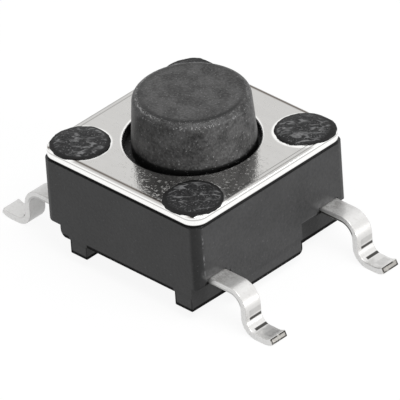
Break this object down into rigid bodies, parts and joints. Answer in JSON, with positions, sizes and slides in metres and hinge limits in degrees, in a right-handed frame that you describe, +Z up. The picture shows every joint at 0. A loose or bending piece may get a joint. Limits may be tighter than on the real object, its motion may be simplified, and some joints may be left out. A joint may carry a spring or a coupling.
{
  "type": "tactile push button switch",
  "caption": "Square surface-mount tactile push button switch with a round plunger, a staked cover plate and gull-wing terminals.",
  "frame": {"origin": "centre of the housing in plan, on the plane of the four terminal soles", "axes": "+Z up along the press axis, +X out of one of the two faces that carry terminals, +Y along those faces"},
  "size_m": [0.0106, 0.006, 0.0049],
  "materials": {
    "housing_plastic": "glass-filled moulding, semi-matt, near black",
    "plunger_plastic": "moulded, finely textured, dark grey",
    "cover_steel": "rolled stainless sheet, satin, bright blanked edge",
    "dome_steel": "thin sprung stainless sheet, smooth",
    "plated_terminal": "copper alloy sheet with a pale tin or silver plating, satin"
  },
  "bodies": {
    "housing": {"base": "housing_plastic", "cover_plate": "cover_steel", "snap_dome": "dome_steel", "common_leadframe": "plated_terminal", "switched_leadframe": "plated_terminal"},
    "button": {"plunger": "plunger_plastic"}
  },
  "joints": [
    {"name": "plunger_press", "type": "slide", "parent": "housing", "child": "button", "axis": [0, 0, 1], "range_m": [-0.00025, 0], "stiffness_N_per_m": 6400, "deforming": ["snap_dome"]}
  ]
}
